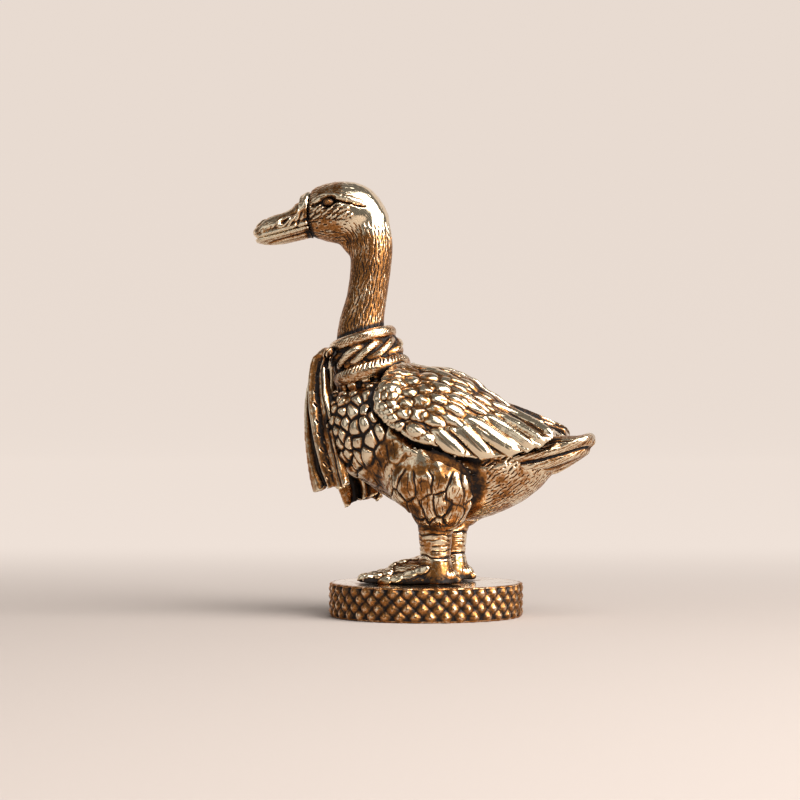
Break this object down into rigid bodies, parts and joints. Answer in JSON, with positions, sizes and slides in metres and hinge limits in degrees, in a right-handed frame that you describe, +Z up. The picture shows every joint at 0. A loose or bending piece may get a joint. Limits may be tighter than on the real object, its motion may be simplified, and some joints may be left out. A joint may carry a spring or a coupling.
{
  "type": "goose figurine",
  "caption": "Small cast brass goose in a cable-knit scarf, standing on a round base with a knurled rim; a desk or shelf ornament.",
  "frame": {"origin": "centre of the flat underside of the round base", "axes": "+Z up, the goose faces -X, its left side is -Y"},
  "size_m": [0.036, 0.02, 0.0449],
  "materials": {
    "figure_brass": "antique cast brass, polished on the high spots and dark in the recesses",
    "scarf_brass": "antique cast brass with a knitted texture, dark between the ribs",
    "base_brass": "turned and knurled brass, polished studs with dark grooves",
    "eye_brass": "dark polished brass bead"
  },
  "bodies": {
    "root": {"base_disc": "base_brass", "left_foot_pin": "base_brass", "right_foot_pin": "base_brass", "left_leg": "figure_brass", "right_leg": "figure_brass", "body": "figure_brass", "left_wing": "figure_brass", "right_wing": "figure_brass", "tail": "figure_brass", "head_and_neck": "figure_brass", "upper_bill": "figure_brass", "lower_bill": "figure_brass", "left_eye": "eye_brass", "right_eye": "eye_brass", "scarf_band": "scarf_brass", "scarf_left_end": "scarf_brass", "scarf_right_end": "scarf_brass"}
  },
  "joints": []
}
